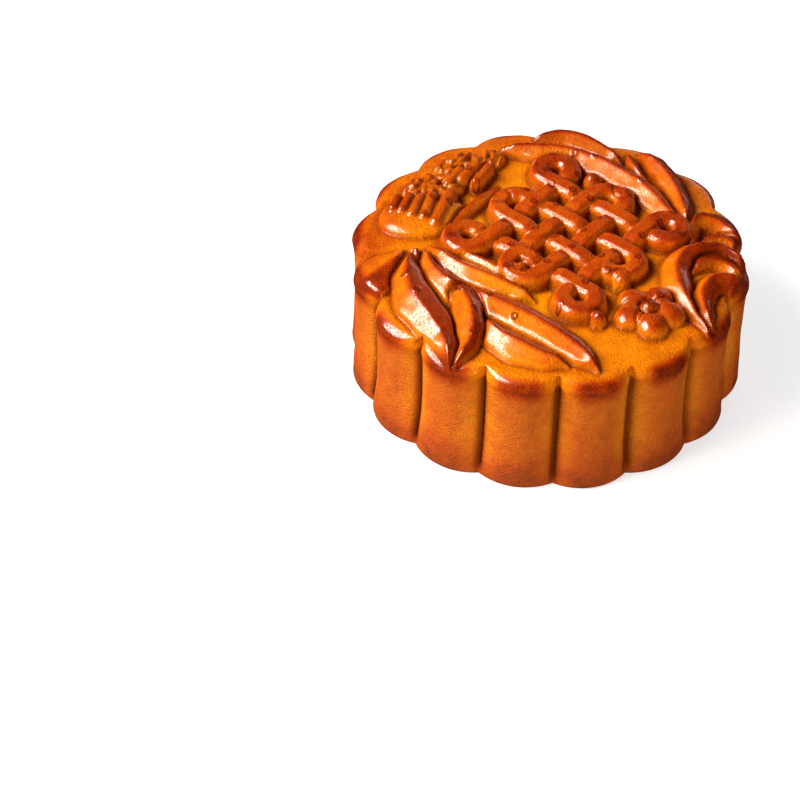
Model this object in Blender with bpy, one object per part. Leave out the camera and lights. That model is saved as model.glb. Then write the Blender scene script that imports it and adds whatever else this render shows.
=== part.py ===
"""A baked mooncake with a moulded top: one solid, built in metres with +Z up.

The cake is a fluted round body. Leaves, finger petals, a woven knot, a small
blossom and round beads stand proud of its flat top, as a carved wooden mould
leaves them. The origin is the middle of the base.
"""
import math

import bmesh
import bpy
from mathutils import Vector

MM = 0.001

# Body of the cake
LOBE_COUNT = 16
LOBE_RADIUS = 40.3 * MM
LOBE_UNEVENNESS = 0.3 * MM
LOBE_RHYTHM = 2.4
GROOVE_RADIUS = 37.2 * MM
GROOVE_RADIUS_AT_BASE = 38.3 * MM
FIRST_GROOVE_ANGLE = math.radians(-88.9)
COLUMNS_PER_LOBE = 8
PLATE_RADIUS = 36.4 * MM
PLATE_HEIGHT = 28.6 * MM
SHOULDER_HEIGHT = 3.2 * MM
SHOULDER_STEPS = 4
BASE_BEVEL = 0.6 * MM
BASE_FLARE_HEIGHT = 9.0 * MM

# Relief on the top
RELIEF_ROOT = 1.6 * MM
DRAFT = 0.35 * MM
STEPS_PER_SPAN = 2
SHORTEST_EDGE = 0.03 * MM

# Woven knot in the middle
KNOT_CENTRE = Vector((3.4 * MM, 2.6 * MM))
KNOT_TURN = math.radians(-40.0)
STRAND_PITCH = 7.3 * MM
STRAND_WIDTH = 3.8 * MM
STRAND_HEIGHT = 3.1 * MM
STRAND_DIP = 0.9 * MM
STRAND_LAP = 0.3 * MM
TURN_BACK_REACH = 2.0 * MM
EAR_RADIUS = 3.2 * MM

# Blossom and beads
BLOSSOM_CENTRE = Vector((18.6 * MM, -19.3 * MM))
PETAL_COUNT = 5
PETAL_RADIUS = 3.5 * MM
PETAL_RING = 3.9 * MM
PETAL_HEIGHT = 2.7 * MM
HEART_RADIUS = 2.0 * MM
HEART_HEIGHT = 3.1 * MM
BEAD_HEIGHT = 3.1 * MM

CRUST_COLOUR = (0.55, 0.16, 0.02, 1.0)
CRUST_ROUGHNESS = 0.38


# Leaves, in millimetres: name, points along the middle, half widths there,
# where the ridge runs (-1 right edge, +1 left edge), ridge and edge heights.
LEAVES = [
    ("leaf_front_long",
     [(-25.2, -2.5), (-23.2, -9.5), (-18.5, -15.2), (-12.0, -18.6), (-5.5, -22.6),
      (0.5, -27.4), (4.8, -31.6), (8.0, -35.6)],
     [0.6, 2.3, 2.8, 3.0, 3.2, 3.0, 2.4, 0.4], 0.40, 3.0, 1.3),
    ("leaf_front_upper",
     [(-24.0, -1.0), (-20.3, -6.2), (-15.8, -9.7), (-11.0, -12.2), (-7.0, -14.4), (-3.6, -16.6)],
     [0.5, 1.9, 2.5, 2.5, 1.8, 0.3], 0.30, 2.7, 1.2),
    ("leaf_front_slim",
     [(-21.5, -0.2), (-17.0, -3.9), (-12.5, -6.9), (-8.6, -9.8), (-5.0, -13.2)],
     [0.4, 1.1, 1.3, 1.1, 0.3], 0.0, 2.7, 1.4),
    ("leaf_front_low",
     [(-14.0, -22.6), (-11.6, -27.2), (-7.4, -30.6), (-2.6, -32.8), (2.4, -34.6)],
     [0.7, 2.4, 3.0, 2.3, 0.3], 0.45, 2.6, 0.8),
    ("leaf_short",
     [(-17.8, -15.8), (-16.8, -20.0), (-16.3, -25.0), (-17.0, -29.8), (-19.3, -34.0)],
     [1.2, 2.5, 2.4, 1.9, 0.3], 0.10, 3.2, 1.4),
    ("leaf_curved",
     [(-28.0, -4.6), (-27.4, -11.0), (-25.4, -17.0), (-22.4, -22.0), (-20.6, -27.6), (-20.3, -33.2)],
     [0.7, 2.4, 2.9, 2.7, 1.9, 0.3], -0.05, 3.1, 1.3),
    ("leaf_left_slim",
     [(-30.0, -6.0), (-30.6, -12.0), (-29.4, -18.0), (-26.6, -23.6), (-23.4, -28.4)],
     [0.4, 1.5, 1.7, 1.5, 0.3], -0.1, 1.9, 0.7),
    ("leaf_far_left",
     [(-26.4, -2.6), (-30.6, -3.8), (-33.8, -6.6), (-35.3, -10.6)],
     [0.9, 2.0, 2.5, 0.7], -0.1, 2.4, 0.9),
    ("leaf_right_outer",
     [(33.5, 0.2), (28.4, -2.4), (24.9, -6.6), (24.2, -11.0), (26.4, -16.4), (29.4, -21.6)],
     [0.9, 2.0, 2.5, 2.4, 1.8, 0.3], 0.0, 3.0, 1.3),
    ("leaf_right_inner",
     [(35.2, -7.8), (32.0, -8.0), (29.6, -10.6), (29.2, -14.0), (30.2, -18.6)],
     [0.5, 1.3, 1.6, 1.4, 0.3], 0.1, 2.8, 1.2),
    ("leaf_right_middle",
     [(28.2, -7.2), (30.2, -4.9), (33.2, -4.0), (35.8, -5.6)],
     [0.4, 1.2, 1.6, 0.5], 0.0, 2.3, 1.0),
    ("leaf_right_arch",
     [(28.2, 0.6), (29.4, 5.8), (32.0, 8.2), (34.6, 6.8), (35.8, 3.6)],
     [0.6, 1.7, 2.2, 1.7, 0.6], 0.2, 3.1, 1.3),
    ("leaf_right_low",
     [(28.8, -1.2), (31.2, 2.0), (33.8, 3.2), (35.9, 1.2)],
     [0.4, 1.4, 1.6, 0.5], 0.1, 2.4, 1.0),
    ("leaf_back_long",
     [(-9.0, 30.6), (-2.4, 29.8), (5.6, 27.9), (13.2, 23.4), (19.4, 17.4), (24.0, 10.0), (26.8, 2.6)],
     [0.8, 2.3, 2.7, 2.8, 2.7, 2.0, 0.3], 0.35, 3.0, 1.2),
    ("leaf_back_rim",
     [(-3.0, 33.2), (2.6, 34.6), (7.8, 33.2), (12.2, 30.2), (15.6, 26.6)],
     [0.6, 2.3, 2.5, 2.0, 0.3], 0.1, 3.4, 1.4),
    ("leaf_back_side",
     [(19.9, 30.3), (22.8, 25.9), (25.3, 20.5), (27.1, 13.9), (27.7, 6.6)],
     [0.7, 2.1, 2.4, 2.0, 0.3], 0.1, 3.2, 1.3),
    ("leaf_back_slim",
     [(17.3, 30.0), (17.7, 27.0), (19.0, 23.6), (21.0, 20.8)],
     [0.7, 1.1, 1.0, 0.3], 0.0, 2.4, 1.1),
    ("leaf_stem",
     [(-19.4, 4.2), (-16.6, 9.6), (-13.2, 14.4), (-10.2, 18.6)],
     [0.6, 1.2, 1.2, 0.5], 0.0, 2.3, 1.2),
]

# Flower heads at the back left, in millimetres: middle, half length, half
# width, turn of the long axis in degrees, height.
FLOWER_PADS = [
    ((-25.4, 9.0), 9.2, 6.8, 8.0, 2.2),
    ((-23.4, 17.4), 6.8, 5.0, 20.0, 2.5),
    ((-17.8, 23.8), 6.8, 5.0, 42.0, 2.4),
    ((-12.0, 27.0), 3.8, 3.0, 30.0, 2.0),
]

# Finger petals on the flower heads, in millimetres: foot, tip, half width.
FINGERS = [
    ((-32.0, 6.2), (-31.0, 12.6), 0.85),
    ((-29.9, 5.4), (-28.8, 13.0), 0.95),
    ((-27.4, 5.0), (-26.2, 13.2), 1.05),
    ((-24.8, 4.8), (-23.4, 13.4), 1.15),
    ((-21.8, 5.2), (-19.6, 13.2), 1.35),
    ((-28.6, 15.4), (-25.0, 18.6), 0.80),
    ((-25.8, 14.6), (-22.6, 19.0), 0.80),
    ((-22.8, 15.0), (-19.6, 19.6), 0.85),
    ((-26.0, 19.6), (-21.6, 20.8), 0.75),
    ((-19.0, 17.4), (-16.0, 22.8), 0.90),
    ((-16.4, 16.8), (-13.4, 23.2), 1.05),
    ((-22.4, 23.2), (-18.6, 25.2), 0.80),
    ((-21.0, 26.2), (-17.2, 27.2), 0.80),
    ((-17.4, 25.0), (-14.8, 28.6), 0.80),
    ((-14.2, 24.4), (-11.4, 27.6), 0.85),
    ((-11.4, 24.6), (-9.6, 28.2), 0.75),
]
FINGER_HEIGHT = 3.1
FINGER_EDGE = 2.3

# Round beads beside the knot, in millimetres: middle and radius.
BEADS = [
    ((15.4, 15.4), 2.3),
    ((9.2, 20.2), 2.0),
    ((-9.6, 12.9), 1.9),
    ((-6.0, -8.2), 1.6),
    ((13.6, -11.2), 1.9),
    ((8.6, -22.4), 1.6),
]


def clear_scene():
    """Remove every object, so that the script can be run again."""
    for item in list(bpy.data.objects):
        bpy.data.objects.remove(item, do_unlink=True)


def outline_radius(angle, groove_radius):
    """Radius of the fluted outline: one round arc for each lobe.

    Some lobes are a little fuller than others, in the same way on both
    halves of the cake, which keeps the origin in the middle of the base.
    """
    lobe_angle = math.tau / LOBE_COUNT
    half = lobe_angle / 2
    turn = (angle - FIRST_GROOVE_ANGLE) % math.tau
    from_middle = turn % lobe_angle - half
    lobe = int(turn / lobe_angle) % (LOBE_COUNT // 2)
    full = LOBE_RADIUS - LOBE_UNEVENNESS * (0.5 - 0.5 * math.cos(LOBE_RHYTHM * lobe))
    centre = (full ** 2 - groove_radius ** 2) / (2 * (full - groove_radius * math.cos(half)))
    arc = full - centre
    return centre * math.cos(from_middle) + math.sqrt(arc ** 2 - (centre * math.sin(from_middle)) ** 2)


def skin(x, y):
    """Height of the cake's own top at a point: flat, then round to the wall."""
    out = (math.hypot(x, y) - PLATE_RADIUS) / (LOBE_RADIUS - PLATE_RADIUS)
    out = min(max(out, 0.0), 0.98)
    return PLATE_HEIGHT - SHOULDER_HEIGHT * (1 - math.sqrt(1 - out ** 2))


def loft(name, sections):
    """Join closed loops of points, one after another, and cap both ends."""
    bm = bmesh.new()
    loops = []
    for section in sections:
        verts = [bm.verts.new(point) for point in section]
        loops.append([bm.edges.new((a, b)) for a, b in zip(verts, verts[1:] + verts[:1])])
    for near, far in zip(loops, loops[1:]):
        bmesh.ops.bridge_loops(bm, edges=near + far)
    bmesh.ops.edgeloop_fill(bm, edges=loops[0])
    bmesh.ops.edgeloop_fill(bm, edges=loops[-1])
    return finish_piece(name, bm)


def finish_piece(name, bm):
    """Turn a bmesh into an object with its faces pointing out."""
    bmesh.ops.recalc_face_normals(bm, faces=bm.faces)
    mesh = bpy.data.meshes.new(name)
    bm.to_mesh(mesh)
    bm.free()
    return bpy.data.objects.new(name, mesh)


def body():
    """The fluted cake: base, wall, rounded shoulder and flat plate."""
    levels = [(0.0, BASE_BEVEL, 0.0), (0.25 * BASE_BEVEL, 0.4 * BASE_BEVEL, 0.0), (BASE_BEVEL, 0.0, 0.0)]
    wall_top = PLATE_HEIGHT - SHOULDER_HEIGHT
    for height in (0.5 * BASE_FLARE_HEIGHT, BASE_FLARE_HEIGHT, 0.55 * wall_top + 0.45 * BASE_FLARE_HEIGHT):
        levels.append((height, 0.0, 0.0))
    for step in range(SHOULDER_STEPS + 1):
        turn = math.pi / 2 * step / SHOULDER_STEPS
        levels.append((wall_top + SHOULDER_HEIGHT * math.sin(turn), 0.0, 1 - math.cos(turn)))
    columns = LOBE_COUNT * COLUMNS_PER_LOBE
    sections = []
    for height, inset, towards_plate in levels:
        flare = min(height / BASE_FLARE_HEIGHT, 1.0)
        groove = GROOVE_RADIUS_AT_BASE + (GROOVE_RADIUS - GROOVE_RADIUS_AT_BASE) * flare
        section = []
        for column in range(columns):
            angle = FIRST_GROOVE_ANGLE + math.tau * column / columns
            radius = outline_radius(angle, groove) - inset
            radius += (PLATE_RADIUS - radius) * towards_plate
            section.append((radius * math.cos(angle), radius * math.sin(angle), height))
        sections.append(section)
    return loft("mooncake", sections)


def along(points, widths, steps):
    """Smooth positions, directions and half widths along a line of points."""
    last = len(points) - 1
    stations = []
    for span in range(last):
        p0, p1, p2, p3 = (Vector(points[min(max(span + k, 0), last)]) for k in (-1, 0, 1, 2))
        count = steps + (span == last - 1)
        for step in range(count):
            t = step / steps
            place = 0.5 * (2 * p1 + (p2 - p0) * t + (2 * p0 - 5 * p1 + 4 * p2 - p3) * t ** 2
                           + (3 * p1 - p0 - 3 * p2 + p3) * t ** 3)
            heading = 0.5 * ((p2 - p0) + 2 * (2 * p0 - 5 * p1 + 4 * p2 - p3) * t
                             + 3 * (3 * p1 - p0 - 3 * p2 + p3) * t ** 2)
            ease = t * t * (3 - 2 * t)
            width = widths[span] + (widths[span + 1] - widths[span]) * ease
            stations.append((place, heading.normalized(), width))
    return stations


def relief_section(place, heading, half_width, profile):
    """Points across a raised form: profile pairs an offset with a height."""
    side = Vector((-heading.y, heading.x))
    section = []
    for across, height in profile:
        spot = place + side * (across * half_width)
        section.append(Vector((spot.x, spot.y, skin(spot.x, spot.y) + height)))
    foot_left = place + side * (half_width + DRAFT)
    foot_right = place - side * (half_width + DRAFT)
    for spot in (foot_left, foot_right):
        section.append(Vector((spot.x, spot.y, skin(spot.x, spot.y) - RELIEF_ROOT)))
    return section


def leaf(name, points, widths, ridge, ridge_height, edge_height):
    """A leaf with a ridge line and two sloping sides, on steep edges."""
    places = [Vector(point) * MM for point in points]
    stations = along(places, [width * MM for width in widths], STEPS_PER_SPAN)
    sections = []
    for index, (place, heading, width) in enumerate(stations):
        run = index / (len(stations) - 1)
        swell = 0.72 + 0.28 * math.sin(math.pi * min(run * 1.15 + 0.12, 1.0))
        top = ridge_height * MM * swell
        low = edge_height * MM * swell
        middle_right = (ridge - 1) / 2
        middle_left = (ridge + 1) / 2
        half_way = low + 0.62 * (top - low)
        profile = [(-1.0, low), (middle_right, half_way), (ridge, top), (middle_left, half_way), (1.0, low)]
        sections.append(relief_section(place, heading, width, profile))
    return loft(name, sections)


def strand(name, places, heights, width):
    """A flat-topped strand of dough along given places and heights."""
    sections = []
    last = len(places) - 1
    for index, (place, height) in enumerate(zip(places, heights)):
        ahead = places[min(index + 1, last)] - places[max(index - 1, 0)]
        profile = [(-1.0, height - 0.7 * MM), (-0.62, height), (0.62, height), (1.0, height - 0.7 * MM)]
        sections.append(relief_section(place, ahead.normalized(), width / 2, profile))
    return loft(name, sections)


def knot_point(u, v):
    """A place on the plate from the knot's own two directions."""
    cos_turn = math.cos(KNOT_TURN)
    sin_turn = math.sin(KNOT_TURN)
    return KNOT_CENTRE + Vector((u * cos_turn - v * sin_turn, u * sin_turn + v * cos_turn))


def woven_height(u, along_u, line):
    """Height of a strand at a place along it: low where it passes under."""
    dip = 0.0
    for crossing in range(4):
        goes_under = (crossing + line) % 2 == (0 if along_u else 1)
        if goes_under:
            away = abs(u - (crossing - 1.5) * STRAND_PITCH) / (0.5 * STRAND_PITCH)
            dip = max(dip, STRAND_DIP * max(0.0, math.cos(min(away, 1.0) * math.pi / 2)))
    return STRAND_HEIGHT - dip


def knot():
    """Four strands each way, woven, with round turns at their ends."""
    pieces = []
    outer_line = 1.5 * STRAND_PITCH
    stations = 17
    for line in range(4):
        offset = (line - 1.5) * STRAND_PITCH
        reach = outer_line + (EAR_RADIUS if line in (0, 3) else TURN_BACK_REACH) + STRAND_LAP
        for along_u in (True, False):
            places = []
            heights = []
            for index in range(stations):
                run = -reach + 2 * reach * index / (stations - 1)
                places.append(knot_point(run, offset) if along_u else knot_point(offset, run))
                heights.append(woven_height(run, along_u, line))
            pieces.append(strand("strand", places, heights, STRAND_WIDTH))
    for side in range(4):
        quarter = side * math.pi / 2
        pieces.append(turn_back(quarter, outer_line + TURN_BACK_REACH))
        pieces.append(ear(quarter, outer_line))
    return pieces


def quarter_place(quarter, out, across):
    """A knot place from one of its four sides: outwards and across."""
    u = out * math.cos(quarter) - across * math.sin(quarter)
    v = out * math.sin(quarter) + across * math.cos(quarter)
    return knot_point(u, v)


def turn_back(quarter, reach):
    """The half circle that joins a side's two middle strands."""
    radius = 0.5 * STRAND_PITCH
    places = []
    for index in range(9):
        turn = -math.pi / 2 + math.pi * index / 8
        places.append(quarter_place(quarter, reach + radius * math.cos(turn), radius * math.sin(turn)))
    return strand("turn_back", places, [0.985 * STRAND_HEIGHT] * len(places), 0.97 * STRAND_WIDTH)


def ear(quarter, line):
    """The loop at a corner, from one outer strand round to the next."""
    centre = line + EAR_RADIUS
    start = math.radians(-90.0)
    sweep = math.radians(270.0)
    places = []
    for index in range(13):
        turn = start + sweep * index / 12
        out = centre + EAR_RADIUS * math.cos(turn)
        across = centre + EAR_RADIUS * math.sin(turn)
        places.append(quarter_place(quarter, out, across))
    return strand("ear", places, [0.97 * STRAND_HEIGHT] * len(places), 0.95 * STRAND_WIDTH)


def dome(name, x, y, half_length, half_width, height, turn=0.0, sides=12):
    """A rounded mound: the top of a flattened ball sunk in the plate."""
    bm = bmesh.new()
    bmesh.ops.create_uvsphere(bm, u_segments=sides, v_segments=8, radius=1.0)
    cos_turn = math.cos(turn)
    sin_turn = math.sin(turn)
    for vert in bm.verts:
        dx = vert.co.x * half_length
        dy = vert.co.y * half_width
        rise = vert.co.z * (height if vert.co.z > 0 else RELIEF_ROOT)
        px = x + dx * cos_turn - dy * sin_turn
        py = y + dx * sin_turn + dy * cos_turn
        vert.co = (px, py, skin(px, py) + rise)
    return finish_piece(name, bm)


def blossom():
    """Five round petals about a button."""
    pieces = []
    for index in range(PETAL_COUNT):
        turn = math.radians(62.0) + math.tau * index / PETAL_COUNT
        x = BLOSSOM_CENTRE.x + PETAL_RING * math.cos(turn)
        y = BLOSSOM_CENTRE.y + PETAL_RING * math.sin(turn)
        pieces.append(dome("petal", x, y, PETAL_RADIUS, PETAL_RADIUS * 0.92, PETAL_HEIGHT, turn))
    pieces.append(dome("heart", BLOSSOM_CENTRE.x, BLOSSOM_CENTRE.y, HEART_RADIUS, HEART_RADIUS, HEART_HEIGHT))
    return pieces


def flowers():
    """The flower heads: low pads with finger petals lying on them."""
    pieces = []
    for (x, y), half_length, half_width, turn, height in FLOWER_PADS:
        pieces.append(dome("pad", x * MM, y * MM, half_length * MM, half_width * MM, height * MM,
                           math.radians(turn), 16))
    for foot, tip, half_width in FINGERS:
        middle = ((foot[0] + tip[0]) / 2, (foot[1] + tip[1]) / 2)
        widths = [0.6 * half_width, half_width, 0.6 * half_width]
        pieces.append(leaf("finger", [foot, middle, tip], widths, 0.0, FINGER_HEIGHT, FINGER_EDGE))
    return pieces


def join_all(base, pieces):
    """Fuse the pieces into the base with one Boolean union."""
    relief = bpy.data.collections.new("relief")
    bpy.context.scene.collection.children.link(relief)
    for piece in pieces:
        relief.objects.link(piece)
    union = base.modifiers.new("union", "BOOLEAN")
    union.operation = "UNION"
    union.operand_type = "COLLECTION"
    union.collection = relief
    union.solver = "EXACT"
    depsgraph = bpy.context.evaluated_depsgraph_get()
    joined = bpy.data.meshes.new_from_object(base.evaluated_get(depsgraph))
    base.modifiers.clear()
    base.data = joined
    for piece in pieces:
        bpy.data.objects.remove(piece, do_unlink=True)
    bpy.data.collections.remove(relief)


def merge_short_edges(bm, limit):
    """Close up edges shorter than the limit where the surface stays whole."""
    found = True
    while found:
        found = False
        short = [edge for edge in bm.edges if edge.calc_length() < limit]
        for edge in short:
            if not edge.is_valid or edge.calc_length() >= limit:
                continue
            near, far = edge.verts
            near_ring = {link.other_vert(near) for link in near.link_edges}
            far_ring = {link.other_vert(far) for link in far.link_edges}
            if len(near_ring & far_ring) == 2:
                bmesh.ops.pointmerge(bm, verts=[near, far], merge_co=(near.co + far.co) / 2)
                found = True


def clean(mesh):
    """Leave plain triangles, none of them with a sliver of an edge."""
    bm = bmesh.new()
    bm.from_mesh(mesh)
    bmesh.ops.triangulate(bm, faces=bm.faces)
    merge_short_edges(bm, SHORTEST_EDGE)
    bm.to_mesh(mesh)
    bm.free()


def crust():
    """Browned, egg-washed crust."""
    material = bpy.data.materials.new("crust")
    material.use_nodes = True
    shader = material.node_tree.nodes["Principled BSDF"]
    shader.inputs["Base Color"].default_value = CRUST_COLOUR
    shader.inputs["Roughness"].default_value = CRUST_ROUGHNESS
    shader.inputs["Metallic"].default_value = 0.0
    return material


def main():
    clear_scene()
    cake = body()
    bpy.context.scene.collection.objects.link(cake)
    pieces = [leaf(*entry) for entry in LEAVES]
    pieces += knot()
    pieces += blossom()
    pieces += flowers()
    for (x, y), radius in BEADS:
        pieces.append(dome("bead", x * MM, y * MM, radius * MM, radius * MM, BEAD_HEIGHT))
    join_all(cake, pieces)
    clean(cake.data)
    cake.data.materials.clear()
    cake.data.materials.append(crust())
    cake.data.shade_smooth()
    cake.data.set_sharp_from_angle(angle=math.radians(40.0))
    print("triangles", len(cake.data.polygons))


main()
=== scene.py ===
# %% [markdown]
# A baked mooncake
#
# The dough is pressed in a carved wooden mould, brushed with egg and baked. Two things make such
# a cake look real: the soft, slightly swollen relief that the mould leaves, and the browning,
# which is gold on the flat parts and deep red-brown on whatever stands proud. This file builds
# both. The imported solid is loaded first, because it fixes the place and the size of everything.

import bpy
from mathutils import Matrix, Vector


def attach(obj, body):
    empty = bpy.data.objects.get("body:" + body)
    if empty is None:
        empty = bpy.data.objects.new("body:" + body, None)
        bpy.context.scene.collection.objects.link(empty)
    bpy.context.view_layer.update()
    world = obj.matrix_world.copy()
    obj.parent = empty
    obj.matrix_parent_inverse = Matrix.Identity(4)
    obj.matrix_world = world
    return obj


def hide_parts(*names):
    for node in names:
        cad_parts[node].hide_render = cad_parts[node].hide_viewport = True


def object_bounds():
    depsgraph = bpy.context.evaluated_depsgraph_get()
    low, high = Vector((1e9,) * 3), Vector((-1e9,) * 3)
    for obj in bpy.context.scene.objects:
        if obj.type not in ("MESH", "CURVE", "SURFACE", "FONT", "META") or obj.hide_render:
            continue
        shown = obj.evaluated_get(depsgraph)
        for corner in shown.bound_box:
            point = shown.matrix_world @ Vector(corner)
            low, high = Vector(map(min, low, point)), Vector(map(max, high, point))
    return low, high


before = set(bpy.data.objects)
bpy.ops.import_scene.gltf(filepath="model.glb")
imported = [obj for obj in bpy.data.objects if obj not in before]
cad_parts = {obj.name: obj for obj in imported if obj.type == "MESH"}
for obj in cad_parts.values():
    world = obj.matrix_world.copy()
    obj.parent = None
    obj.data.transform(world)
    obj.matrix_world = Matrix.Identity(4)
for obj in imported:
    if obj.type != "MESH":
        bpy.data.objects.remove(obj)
cad_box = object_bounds()
print("solid from", tuple(cad_box[0]), "to", tuple(cad_box[1]))

# %% Tools from Blender and Python
import math
import random

import bmesh
import bpy
import numpy as np
from mathutils import Matrix, Vector, noise

MM = 0.001


def add_object(name, data):
    """Put a mesh, a camera or a light into the scene as an object."""
    made = bpy.data.objects.new(name, data)
    bpy.context.scene.collection.objects.link(made)
    return made


print("Blender", bpy.app.version_string)

# %% [markdown]
# The main sizes
#
# The wall is a ring of 16 round lobes that meet in narrow grooves. The top is a flat plate that
# turns down to the wall over a rounded shoulder. These are the values that the solid was built
# from, in millimetres, as a baker would give them.

# %% Sizes of the cake
LOBE_COUNT = 16
LOBE_RADIUS = 40.3
LOBE_UNEVENNESS = 0.3
LOBE_RHYTHM = 2.4
GROOVE_RADIUS = 37.2
GROOVE_RADIUS_AT_BASE = 38.3
FIRST_GROOVE_ANGLE = math.radians(-88.9)
PLATE_RADIUS = 36.4
PLATE_HEIGHT = 28.6
SHOULDER_HEIGHT = 3.2
BASE_FLARE_HEIGHT = 9.0
LOBE_ANGLE = math.tau / LOBE_COUNT
WALL_TOP = PLATE_HEIGHT - SHOULDER_HEIGHT
print("wall from 0 to", WALL_TOP, "mm, plate at", PLATE_HEIGHT, "mm")

# %% [markdown]
# One skin of dough
#
# The cake could be a union of many small bodies, but baked dough is one skin, with no seams.
# So the surface starts as one flat square grid for the top. Its border is extruded into the
# rings of the wall, and the last ring is filled for the base. So far the points only hold their
# place in the pattern: x and y on the square, and the ring number as -z.

# %% Make the flat pattern
TOP_CELLS = 260
WALL_HEIGHTS = [24.6, 23.6, 22.4, 21.0, 19.4, 17.6, 15.8, 14.0, 12.2, 10.4, 8.8, 7.2,
                5.6, 4.2, 3.0, 2.1, 1.4, 0.9, 0.5, 0.2, 0.0]
BASE_INSETS = [3.0, 6.0]

pattern = bmesh.new()
bmesh.ops.create_grid(pattern, x_segments=TOP_CELLS, y_segments=TOP_CELLS, size=1.0)
ring = [edge for edge in pattern.edges if edge.is_boundary]
for number in range(1, len(WALL_HEIGHTS) + len(BASE_INSETS) + 1):
    grown = bmesh.ops.extrude_edge_only(pattern, edges=ring)["geom"]
    for part in grown:
        if isinstance(part, bmesh.types.BMVert):
            part.co.z = -number
    ring = [part for part in grown if isinstance(part, bmesh.types.BMEdge)]
bmesh.ops.edgeloop_fill(pattern, edges=ring)
bmesh.ops.recalc_face_normals(pattern, faces=pattern.faces)
print("pattern:", len(pattern.verts), "points and", len(pattern.faces), "faces")

# %% [markdown]
# From the pattern to arrays
#
# The points could be moved one by one, but there are tens of thousands of them. So the pattern
# becomes a mesh now, and its points are read into arrays that a formula moves all at once.

# %% Make the mesh and read its points
skin_mesh = bpy.data.meshes.new("mooncake_crust")
pattern.to_mesh(skin_mesh)
pattern.free()
point_count = len(skin_mesh.vertices)
places = np.empty(point_count * 3, dtype=np.float32)
skin_mesh.vertices.foreach_get("co", places)
square_x, square_y, depth = places.reshape(-1, 3).astype(float).T
ring_number = np.rint(-depth).astype(int)
on_top = ring_number == 0
print("points on the top:", int(on_top.sum()))

# %% [markdown]
# From a square to a round cake
#
# A square grid is bent into a disc so that its cells stay nearly even: squares about the middle
# become circles about the middle. It is turned a little, so that the square's corners land on
# grooves. The outer part of the disc is later wrapped over the rounded shoulder.

# %% Bend the square into a disc
PATTERN_TURN = math.radians(1.1)


def disc_from_square(x, y):
    """Distance from the middle (0 to 1) and angle for points on the square."""
    wide = np.abs(x) >= np.abs(y)
    reach = np.where(wide, np.abs(x), np.abs(y))
    divisor = np.where(reach == 0, 1.0, np.where(wide, x, y))
    slope = math.pi / 4 * np.where(wide, y, x) / divisor
    from_x = np.where(x < 0, math.pi, 0.0) + slope
    from_y = np.where(y < 0, -math.pi / 2, math.pi / 2) - slope
    return reach, np.where(wide, from_x, from_y) + PATTERN_TURN


reach, angle = disc_from_square(square_x, square_y)
print("distance runs from", reach.min(), "to", reach.max())

# %% [markdown]
# The fluted outline
#
# Each lobe is one round arc, so a formula gives the outline: a circle of the arc's own radius
# about a centre between the cake's middle and the lobe. Some lobes are a little fuller, because
# the dough never fills a mould evenly.

# %% Outline and grooves


def outline_radius(angle, groove_radius):
    """Radius of the fluted outline at an angle, for a given radius at the grooves."""
    turn = np.mod(angle - FIRST_GROOVE_ANGLE, math.tau)
    from_middle = np.mod(turn, LOBE_ANGLE) - LOBE_ANGLE / 2
    lobe = np.floor(turn / LOBE_ANGLE) % (LOBE_COUNT // 2)
    full = LOBE_RADIUS - LOBE_UNEVENNESS * (0.5 - 0.5 * np.cos(LOBE_RHYTHM * lobe))
    span = 2 * (full - groove_radius * math.cos(LOBE_ANGLE / 2))
    centre = (full ** 2 - groove_radius ** 2) / span
    arc = full - centre
    return centre * np.cos(from_middle) + np.sqrt(arc ** 2 - (centre * np.sin(from_middle)) ** 2)


def groove_distance(angle, radius):
    """Distance along the circle to the nearest groove, in millimetres."""
    turn = np.mod(angle - FIRST_GROOVE_ANGLE, LOBE_ANGLE)
    return np.minimum(turn, LOBE_ANGLE - turn) * radius


first_lobe = float(outline_radius(FIRST_GROOVE_ANGLE + LOBE_ANGLE / 2, GROOVE_RADIUS))
print("the first lobe reaches", round(first_lobe, 2), "mm")

# %% [markdown]
# Soft tools for the arrays
#
# A sculptor works with soft brushes, and these are the same in numbers: a ramp, a line with
# soft sides, and a noise, because baked dough is never quite even.

# %% Ramp, line and noise


def ramp(low, high, value):
    """0 below low, 1 above high, and a soft ramp between. A high under low turns it round."""
    t = np.clip((value - low) / (high - low), 0.0, 1.0)
    return t * t * (3 - 2 * t)


def soft_line(offset, width):
    """1 where the offset is 0, and softly 0 on both sides of it."""
    return np.exp(-(offset / width) ** 2)


def soft_noise(x, y, z, size, offset):
    """Blender's smooth noise at each point, about -1 to 1, with bumps of the given size."""
    k = 1.0 / size
    rows = np.column_stack([x * k + offset, y * k - offset, z * k + 2 * offset]).tolist()
    return np.array([noise.noise(row) for row in rows])


test_x = np.array([1.0, 2.0, 3.0])
print("noise along a line:", soft_noise(test_x, test_x, test_x, 7.0, 5.0).round(2))

# %% [markdown]
# Leaves, fingers and strands all follow a curved line. Two tools serve them: one draws a smooth
# curve through a few points, and the other tells each point of the skin how far along that
# curve it lies, how far beside it, and on which side.

# %% Curves


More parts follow.
